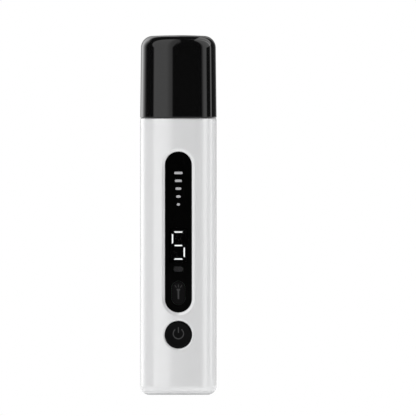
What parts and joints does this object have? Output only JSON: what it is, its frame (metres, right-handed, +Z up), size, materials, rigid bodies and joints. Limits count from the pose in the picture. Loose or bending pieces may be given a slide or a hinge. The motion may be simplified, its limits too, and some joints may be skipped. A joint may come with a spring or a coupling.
{
  "type": "cordless pen grinder",
  "caption": "Slim upright cordless nail grinder with a display, push buttons and a pull-off cap over a spinning diamond drum.",
  "frame": {"origin": "centre of the base's underside", "axes": "+Z up towards the cap, -Y the front with the display and buttons, +X to the right seen from the front"},
  "size_m": [0.034, 0.034, 0.16],
  "materials": {
    "shell_white": "moulded gloss white",
    "cap_black": "high gloss black",
    "nose_white": "satin white",
    "frame_grey": "fine moulding texture",
    "ring_rubber": "matt",
    "clear_window": "clear moulded",
    "board_green": "solder mask",
    "led_package": "phosphor and white package",
    "screw_steel": "zinc plated",
    "can_steel": "drawn and plated",
    "end_cap_plastic": "satin",
    "terminal_brass": "stamped",
    "magnet_ferrite": "matt",
    "brush_carbon": "matt",
    "shaft_steel": "ground",
    "core_steel": "stacked laminations",
    "winding_copper": "enamelled copper wire",
    "commutator_copper": "turned",
    "bearing_bronze": "sintered",
    "chuck_steel": "turned",
    "nut_steel": "knurled and plated",
    "drum_diamond": "diamond grit",
    "cell_wrap": "shrink wrap",
    "insulator_paper": "fish paper",
    "tab_nickel": "nickel strip",
    "pad_foam": "foam",
    "chip_black": "moulded package",
    "display_black": "satin",
    "segment_lit": "lit light guide",
    "segment_dark": "unlit light guide",
    "lens_black": "smoked acrylic",
    "gasket_tape": "foam tape",
    "mark_grey": "printed ink",
    "button_black": "satin black",
    "switch_metal": "stamped",
    "plunger_white": "moulded",
    "socket_metal": "drawn shell",
    "tongue_black": "moulded",
    "wire_red": "insulation",
    "wire_black": "insulation",
    "wire_white": "insulation",
    "wire_orange": "insulation"
  },
  "bodies": {
    "housing": {"body_shell": "shell_white", "base_cover": "shell_white", "base_screws": "screw_steel", "nose_housing": "nose_white", "cap_grip_ring": "ring_rubber", "lamp_windows": "clear_window", "lamp_board": "board_green", "lamp_leds": "led_package", "inner_frame": "frame_grey", "board_screws": "screw_steel", "motor_can": "can_steel", "motor_end_cap": "end_cap_plastic", "motor_terminals": "terminal_brass", "motor_magnets": "magnet_ferrite", "motor_brushes": "brush_carbon", "front_bearing": "bearing_bronze", "rear_bearing": "bearing_bronze", "motor_damper": "ring_rubber", "motor_screws": "screw_steel", "battery_cell": "cell_wrap", "battery_insulator": "insulator_paper", "battery_tabs": "tab_nickel", "battery_pads": "pad_foam", "main_board": "board_green", "board_chips": "chip_black", "digit_housing": "display_black", "lit_segments": "segment_lit", "dark_segments": "segment_dark", "display_lens": "lens_black", "lens_gasket": "gasket_tape", "level_marks": "mark_grey", "status_light": "segment_dark", "status_led": "led_package", "lamp_switch": "switch_metal", "power_switch": "switch_metal", "usb_socket": "socket_metal", "usb_tongue": "tongue_black", "charge_board": "board_green", "battery_lead_red": "wire_red", "battery_lead_black": "wire_black", "motor_lead_red": "wire_red", "motor_lead_black": "wire_black", "lamp_leads": "wire_white", "charge_leads": "wire_orange"},
    "cap": {"cap": "cap_black"},
    "spindle": {"motor_shaft": "shaft_steel", "rotor_core": "core_steel", "rotor_windings": "winding_copper", "commutator": "commutator_copper", "chuck": "chuck_steel", "collet": "chuck_steel", "collet_nut": "nut_steel", "bit_shank": "shaft_steel", "bit_drum": "drum_diamond"},
    "power_key": {"power_button": "button_black", "power_plunger": "plunger_white"},
    "lamp_key": {"lamp_button": "button_black", "lamp_plunger": "plunger_white"}
  },
  "joints": [
    {"name": "cap_pull", "type": "slide", "parent": "housing", "child": "cap", "axis": [0, 0, 1], "range_m": [0, 0.04]},
    {"name": "spindle_spin", "type": "hinge", "parent": "housing", "child": "spindle", "pos_m": [0, 0, 0.12], "axis": [0, 0, 1], "continuous": true},
    {"name": "power_button_press", "type": "slide", "parent": "housing", "child": "power_key", "axis": [0, 1, 0], "range_m": [0, 0.0004], "stiffness_N_per_m": 1500},
    {"name": "lamp_button_press", "type": "slide", "parent": "housing", "child": "lamp_key", "axis": [0, 1, 0], "range_m": [0, 0.0003], "stiffness_N_per_m": 1500}
  ]
}
